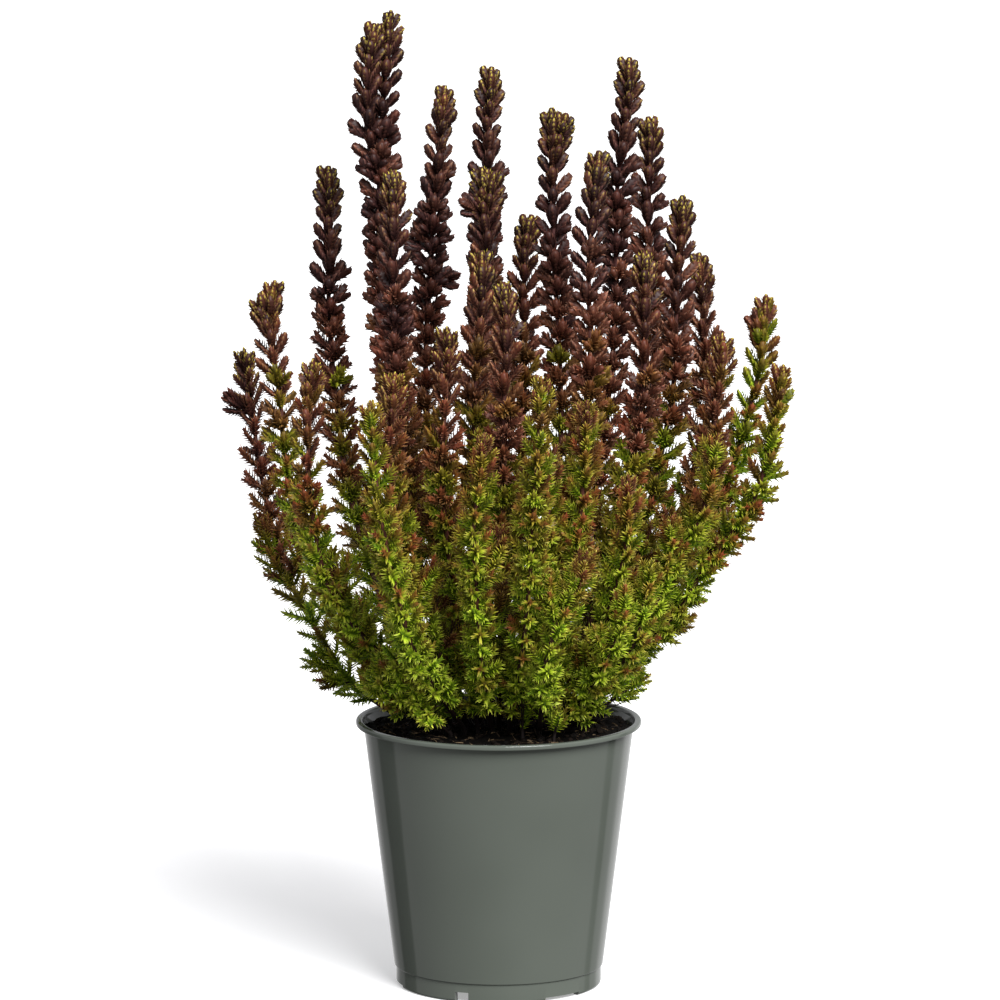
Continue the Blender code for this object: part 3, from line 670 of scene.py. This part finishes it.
def shoot_look(draw, look, tone, height, left, young):
    """How far a shoot is a bud of scales, and how purple, yellow and rusty it is, by its height and
    how far it is from the tip. tone is how much further down the stem is purple, and how much its tip
    is flushed. young is 1 where the tip is in growth, and 0 on a twig that has stopped."""
    most, fresh, blush = {GREEN: (0.0, 0.5, 0.6), OLIVE: (0.6, 1.0, 1.0), MAROON: (1.0, 1.0, 1.0)}[look]
    span = PURPLE_ABOVE - GREEN_BELOW
    form = most * np.clip((height - GREEN_BELOW) / span, 0.0, 1.0)
    purple = most * np.clip((height + tone[0] - GREEN_BELOW) / span, 0.0, 1.0)
    blush *= tone[1] * np.interp(height, BLUSH_AT, BLUSH)
    purple = max(purple, blush * math.exp((FIRST_WHORL - left) / FLUSH_REACH))
    fresh *= young * math.exp((FIRST_WHORL - left) / FRESH_REACH) * draw.uniform(0.8, 1.5)
    rust = np.interp(height, (115.0, 160.0, 215.0, 250.0), (0.1, 0.35, 0.8, 0.4))
    rust = (rust + draw.normal(0.0, 0.3)) * (1.0 - 0.8 * purple)
    shares = (purple + draw.normal(0.0, 0.12), fresh, rust)
    return form, tuple(float(np.clip(share, 0.0, 1.0)) for share in shares)


def leaning(direction, outward, degrees):
    """The axis that leans outwards by an angle, and the direction square to it."""
    c, s = math.cos(math.radians(degrees)), math.sin(math.radians(degrees))
    return direction * c + outward * s, outward * c - direction * s


def put_dead_twig(growth, draw, base, axis, outward):
    """What is left of a shaded shoot: a thin bare twig of three sides that curves up to a point."""
    length = draw.uniform(*DEAD_TWIG)
    across = np.cross(axis, outward)
    points = []
    for share, radius in ((0.0, 0.4), (0.5, 0.3), (1.0, 0.12)):
        middle = base + axis * length * share - outward * 0.25 * length * share ** 2
        for turn in (0.0, 2.1, 4.2):
            points.append(middle + radius * (outward * math.cos(turn) + across * math.sin(turn)))
    faces = [(0, 2, 1), (6, 7, 8)]
    for ring in (0, 3):
        for j in range(3):
            k = (j + 1) % 3
            faces += [(ring + j, ring + k, ring + 3 + k), (ring + j, ring + 3 + k, ring + 3 + j)]
    growth.put(np.array(points), np.array(faces), np.zeros((9, 3)), (0.0, 0.0, 0.0), 0)


def grow(growth, draw, route, look, tone, start, thick=1.0, young=1.0):
    """A stem or side branch along a route, leafy from a distance past its foot."""
    places, along, sides, marks = frames_along(route)
    put_core(growth, places, along, sides, marks, thick)
    length = marks[-1]
    put_shoot(growth, draw, places[-1] - along[-1] * END_SHOOT, along[-1], sides[-1], 0.92, 0.0,
              shoot_look(draw, look, tone, places[-1][2], 5.0, young))
    left, whorl = FIRST_WHORL, int(draw.random() < TURNED)
    while length - left > start:
        i = min(len(places) - 2, int(np.searchsorted(marks, length - left, side="right")) - 1)
        share = (length - left - marks[i]) / (marks[i + 1] - marks[i])
        place = places[i] + share * (places[i + 1] - places[i])
        direction, side = along[i], sides[i]
        other = np.cross(direction, side)
        opening = np.interp(left, OPENING_AT, OPENING)
        bigger = np.interp(left, BIGGER_AT, BIGGER)
        for half in range(2):
            turn = math.radians(90.0 * whorl + 180.0 * half + draw.normal(0.0, 10.0))
            outward = side * math.cos(turn) + other * math.sin(turn)
            axis, across = leaning(direction, outward, opening + draw.normal(0.0, 5.0))
            if draw.random() > kept(place + axis * 9.0):
                put_dead_twig(growth, draw, place, axis, across)
                continue
            size = bigger * draw.uniform(0.88, 1.12)
            shares = shoot_look(draw, look, tone, place[2], left, young)
            put_shoot(growth, draw, place + outward * 0.3, axis, across, size, BEND, shares)
            chance = np.interp(left, TWINS_AT, TWINS) * np.interp(place[2], LOW_TWINS_AT, LOW_TWINS)
            if draw.random() < chance:
                foot = place + axis * 1.6
                for way in (-1.0, 1.0):
                    beside = across * 0.5 + np.cross(axis, across) * way
                    beside /= np.linalg.norm(beside)
                    twin, square = leaning(axis, beside, draw.uniform(28.0, 45.0))
                    put_shoot(growth, draw, foot, twin, square, size * draw.uniform(0.7, 0.9),
                              BEND, shares, False)
        whorl += 1
        left += np.interp(left, WHORLS_AT, WHORL_STEP) * draw.uniform(0.9, 1.1)


def foliage_finish():
    made, tree, shader = new_finish("heather_leaves", Roughness=0.5, IOR=1.4)
    leaf = add(tree, "Attribute", attribute_name="leaf")
    leaf = add(tree, "SeparateXYZ", {"Vector": leaf.outputs["Vector"]}).outputs
    shoot = add(tree, "Attribute", attribute_name="shoot")
    shoot = add(tree, "SeparateXYZ", {"Vector": shoot.outputs["Vector"]}).outputs
    # Each leaf darkens from its tip to its foot. The paler tip is the leaf's own colour, and the dark
    # foot is painted shade inside the shoot.
    green = add(tree, "ValToRGB", {"Fac": leaf["X"]},
                [(0.0, "#2e4e0c"), (1.0, "#e2e85c"), (0.4, "#aecc26")])
    colour = green.outputs["Color"]
    # The brown, rusty and purple leaves darken the same way towards a foot in painted shade. Their pale
    # tips are the leaves' own colour, and on the purple scales the pinkish tips are partly a painted
    # highlight as well.
    for start, full, base, middle, end in (
            (0.14, 0.42, "#44340e", "#9a7c22", "#d8a864"),
            (0.36, 0.6, "#40221a", "#9a6048", "#d4a488"),
            (0.68, 1.0, "#251414", "#5a3632", "#8e645a")):
        ramp = add(tree, "ValToRGB", {"Fac": leaf["X"]}, [(0.0, base), (1.0, end), (0.5, middle)])
        share = add(tree, "MapRange", {"Value": shoot["X"], "From Min": start, "From Max": full})
        colour = add(tree, "Mix", {0: share.outputs["Result"], 6: colour,
                                   7: ramp.outputs["Color"]}, data_type="RGBA").outputs[2]
    tip = add(tree, "MapRange", {"Value": leaf["Y"], "From Min": 0.35, "From Max": 0.95})
    rusty = add(tree, "Math", {0: tip.outputs["Result"], 1: shoot["Z"]}, operation="MULTIPLY")
    colour = add(tree, "Mix", {0: rusty.outputs[0], 6: colour, 7: "#94482c"}, data_type="RGBA")
    crown = add(tree, "MapRange", {"Value": leaf["Y"], "From Min": 0.45, "From Max": 0.9})
    edge = add(tree, "MapRange", {"Value": leaf["X"], "From Min": 0.2, "From Max": 0.7})
    edge = add(tree, "Math", {0: edge.outputs["Result"], 1: crown.outputs["Result"]},
               operation="MULTIPLY")
    flush = add(tree, "Math", {0: edge.outputs[0], 1: shoot["Y"]}, operation="MULTIPLY")
    colour = add(tree, "Mix", {0: flush.outputs[0], 6: colour.outputs[2], 7: "#e4d256"},
                 data_type="RGBA")
    value = add(tree, "MapRange", {"Value": leaf["Z"], "To Min": 0.65, "To Max": 1.35})
    colour = add(tree, "HueSaturation", {"Value": value.outputs["Result"],
                                         "Color": colour.outputs[2]})
    tree.links.new(colour.outputs["Color"], shader.inputs["Base Color"])
    return made


def bark_finish():
    made, tree, shader = new_finish("young_bark", Roughness=0.6)
    place = add(tree, "TexCoord").outputs["Object"]
    height = add(tree, "SeparateXYZ", {"Vector": place}).outputs["Z"]
    share = add(tree, "MapRange", {"Value": height, "From Min": 110 * MM, "From Max": 330 * MM})
    tint = add(tree, "ValToRGB", {"Fac": share.outputs["Result"]},
               [(0.0, "#150d0a"), (1.0, "#4e2a28"), (0.15, "#3a2018"), (0.4, "#5e3226")])
    drawn_out = add(tree, "VectorMath", {0: place, 1: (1.0, 1.0, 0.2)}, operation="MULTIPLY")
    grain = add(tree, "TexNoise", {"Vector": drawn_out.outputs["Vector"], "Scale": 1 / (0.5 * MM),
                                   "Detail": 2.0})
    value = add(tree, "MapRange", {"Value": grain.outputs["Fac"], "From Min": 0.3, "From Max": 0.7,
                                   "To Min": 0.6, "To Max": 1.4})
    colour = add(tree, "HueSaturation", {"Value": value.outputs["Result"],
                                         "Color": tint.outputs["Color"]})
    tree.links.new(colour.outputs["Color"], shader.inputs["Base Color"])
    ridges = add(tree, "Bump", {"Height": grain.outputs["Fac"], "Distance": 0.12 * MM})
    tree.links.new(ridges.outputs["Normal"], shader.inputs["Normal"])
    return made


leaves = foliage_finish()
bark = bark_finish()
draw = np.random.default_rng(21)
SHOOTS, SPARSE_SHOOTS = [[[short_shoot(i / (STAGES - 1), share, draw) for _ in range(VARIANTS)]
                          for i in range(STAGES)] for share in (1.0, SPARSE)]
for name, (look, tops, forks) in STEMS.items():
    draw = np.random.default_rng(sum(map(ord, name)) * 7)
    edge = EDGE_RIPE * tops[-1][0] if abs(tops[-1][0]) > EDGE_FROM else 0.0
    tone = (edge + draw.normal(0.0, RIPENING), draw.uniform(*FLUSH))
    growth = Growth()
    route = stem_route(name, tops)
    grow(growth, draw, route, look, tone, BARE[look])
    for height, points in forks:
        foot = min(route, key=lambda p: abs(p.z - height))
        branch = curve_through([foot] + points)
        young = 0.0 if (branch[-1] - foot).length < TWIG and look == MAROON else 1.0
        grow(growth, draw, branch, look, tone, 2.0, 0.8, young)
    for _ in range(SIDE_BRANCHES[look]):
        height = draw.uniform(BRANCHES_FROM[0], min(BRANCHES_FROM[1], tops[-1][2]))
        foot = min(route, key=lambda p: abs(p.z - height))
        turn, rise = draw.uniform(0.0, 2.0 * math.pi), draw.uniform(*BRANCH_RISE)
        out = Vector((math.cos(turn), math.sin(turn), 0.0)) * BRANCH_OUT * rise
        branch = [foot, foot + out * 0.6 + Vector((0.0, 0.0, rise * 0.4)),
                  foot + out + Vector((0.0, 0.0, rise))]
        grow(growth, draw, curve_through(branch), OLIVE, tone, 4.0, 0.6, draw.uniform(0.3, 1.0))
    piece = add_piece("leafy_" + name, growth.mesh("leafy_" + name), bark, leaves)
    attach(piece, "root")
    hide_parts(name)


# What lies on the peat
# Crumbs of peat that came loose with watering, and dry needles and bits of brown root and twig that
# have fallen from the plant. They are sunk a little into the peat.
LITTER_REACH = 53.0
CRUMBS, CRUMB_SIZE = 420, (0.5, 1.7)
DRY_LEAVES, DRY_LEAF = 220, (2.2, 4.2)
FIBRES, FIBRE = 60, (4.0, 14.0)
SUNK = 0.3


def litter_finish(name, dark, light, roughness):
    made, tree, shader = new_finish(name, Roughness=roughness, Specular_IOR_Level=0.2)
    place = add(tree, "TexCoord").outputs["Object"]
    patch = add(tree, "TexNoise", {"Vector": place, "Scale": 1 / (3.0 * MM), "Detail": 3.0})
    tint = add(tree, "ValToRGB", {"Fac": patch.outputs["Fac"]}, [(0.35, dark), (0.7, light)])
    tree.links.new(tint.outputs["Color"], shader.inputs["Base Color"])
    return made


def on_peat(point, above):
    """The point moved to a height above the peat under it."""
    return Vector((point.x, point.y, soil_height(point.x, point.y) + above))


def litter_place(draw, length=0.0):
    """A place on the peat from which a bit of this length can't reach the pot's wall, and a turn
    about the upright axis."""
    out = (LITTER_REACH - length) * math.sqrt(draw.random())
    turn = draw.uniform(0.0, 2.0 * math.pi)
    place = Vector((out * math.cos(turn), out * math.sin(turn), 0.0))
    return on_peat(place, 0.0), Matrix.Rotation(draw.uniform(0.0, 2.0 * math.pi), 3, "Z")


def crumb(shape, draw):
    """A lump of peat: a rough ball of twenty triangles, a little flattened."""
    place, turn = litter_place(draw)
    size = draw.uniform(*CRUMB_SIZE)
    ball = bmesh.ops.create_icosphere(shape, subdivisions=1, radius=1.0)["verts"]
    for v in ball:
        rough = v.co * draw.uniform(0.75, 1.25)
        rough.z *= 0.7
        v.co = (place + turn @ rough * size + Vector((0.0, 0.0, SUNK * size))) * MM


def dry_leaf(shape, draw):
    """A fallen needle: four triangles, widest near its foot and lifted a little at its tip."""
    length = draw.uniform(*DRY_LEAF)
    place, turn = litter_place(draw, length)
    corners = [(0.0, -0.35, 0.1), (0.0, 0.35, 0.1), (0.1 * length, 0.0, 0.55)]
    corners = [place + turn @ Vector(c) for c in corners]
    corners.append(on_peat(place + turn @ Vector((length, 0.0, 0.0)), draw.uniform(0.1, 0.9)))
    tips = [shape.verts.new(c * MM) for c in corners]
    for side in LEAF:
        shape.faces.new([tips[i] for i in side])


def fibre(shape, draw):
    """A bit of root: a bent thread of three sides that lies along the peat."""
    length, bend = draw.uniform(*FIBRE), draw.uniform(-0.25, 0.25)
    place, turn = litter_place(draw, length)
    rings = []
    for share in (0.0, 0.35, 0.7, 1.0):
        aside = 4.0 * bend * length * share * (1.0 - share)
        middle = on_peat(place + turn @ Vector((length * share, aside, 0.0)), 0.25)
        radius = 0.28 * (1.0 - 0.7 * share)
        around = [Vector((0.0, math.cos(a), math.sin(a))) for a in (0.0, 2.1, 4.2)]
        rings.append([shape.verts.new((middle + turn @ step * radius) * MM) for step in around])
    for one, two in zip(rings, rings[1:]):
        for j in range(3):
            k = (j + 1) % 3
            shape.faces.new((one[j], one[k], two[k], two[j]))
    shape.faces.new(rings[0][::-1])
    shape.faces.new(rings[-1])


crumb_look = litter_finish("loose_peat", "#0a0705", "#241a12", 0.9)
dry_look = litter_finish("dry_leaf", "#33261a", "#8c7658", 0.7)
root_look = litter_finish("dry_root", "#221913", "#5c4c3a", 0.8)
for name, make, count, finish in (("peat_crumbs", crumb, CRUMBS, crumb_look),
                                  ("fallen_needles", dry_leaf, DRY_LEAVES, dry_look),
                                  ("root_fibres", fibre, FIBRES, root_look)):
    draw = np.random.default_rng(count)
    shape = bmesh.new()
    for _ in range(count):
        make(shape, draw)
    bmesh.ops.recalc_face_normals(shape, faces=shape.faces)
    mesh = bpy.data.meshes.new(name)
    shape.to_mesh(mesh)
    shape.free()
    piece = add_piece(name, mesh, finish)
    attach(piece, "root")


# The floor and the light
# A pale sweep of paper under a large soft light over the camera's right shoulder. Gloss sees the
# studio round it instead of the paper: a white wall behind, and a dark flag at each side of the
# table, which draw the pot's sides as pale and dark strips.
FLOOR_SIZE = 40.0
KEY_FROM = (28.0, 42.0)
KEY_STRENGTH = 4.3
KEY_SPREAD = 34.0
SKY = (0.46, 0.46, 0.48)
# The studio below the horizon, by the angle round the plant from the camera, to the right.
ROUND = [(-180, 0.85), (-146, 0.3), (-136, 0.28), (-132, 0.05), (-110, 0.05), (-107, 0.42),
         (-60, 0.32), (0, 0.14), (60, 0.24), (100, 0.36), (114, 0.36), (117, 0.02), (125, 0.02),
         (128, 0.4), (140, 0.48), (148, 0.85), (180, 0.9)]

floor_mesh = bpy.data.meshes.new("studio_floor")
half = FLOOR_SIZE / 2.0
floor_mesh.from_pydata([(-half, -half, 0.0), (half, -half, 0.0), (half, half, 0.0),
                        (-half, half, 0.0)], [], [(0, 1, 2, 3)])
paper, paper_tree, paper_shader = new_finish("matt_paper", Base_Color="#f6f6f6", Roughness=0.9,
                                             Emission_Color="#ffffff", Emission_Strength=0.35)
floor = add_piece("studio_floor", floor_mesh, paper)
floor.visible_glossy = False
floor.visible_diffuse = False

key_data = bpy.data.lights.new("key_light", "SUN")
key_data.energy = KEY_STRENGTH
key_data.angle = math.radians(KEY_SPREAD)
key = bpy.data.objects.new("key_light", key_data)
turn, rise = (math.radians(a) for a in KEY_FROM)
key.rotation_euler = Vector((math.sin(turn) * math.cos(rise), -math.cos(turn) * math.cos(rise),
                             math.sin(rise))).to_track_quat("Z", "Y").to_euler()
bpy.context.scene.collection.objects.link(key)

world = bpy.data.worlds.new("studio")
world.use_nodes = True
air = world.node_tree
way = add(air, "SeparateXYZ", {0: add(air, "TexCoord").outputs["Generated"]}).outputs
front = add(air, "Math", {0: way["Y"], 1: -1.0}, operation="MULTIPLY")
angle = add(air, "Math", {0: way["X"], 1: front.outputs[0]}, operation="ARCTAN2")
share = add(air, "MapRange", {"Value": angle.outputs[0], "From Min": -math.pi, "From Max": math.pi})
ramp = add(air, "ValToRGB", {"Fac": share.outputs["Result"]})
stops = ramp.color_ramp.elements
stops.remove(stops[1])
for degrees, grey in ROUND:
    stop = stops[0] if degrees == -180 else stops.new((degrees + 180.0) / 360.0)
    stop.color = (grey, grey, grey, 1.0)
high = add(air, "MapRange", {"Value": way["Z"], "From Min": -0.05, "From Max": 0.1})
sky = add(air, "Mix", {0: high.outputs["Result"], 6: ramp.outputs["Color"], 7: (*SKY, 1.0)},
          data_type="RGBA")
air.links.new(sky.outputs[2], air.nodes["Background"].inputs["Color"])
bpy.context.scene.world = world
bpy.context.scene.view_settings.view_transform = "Standard"
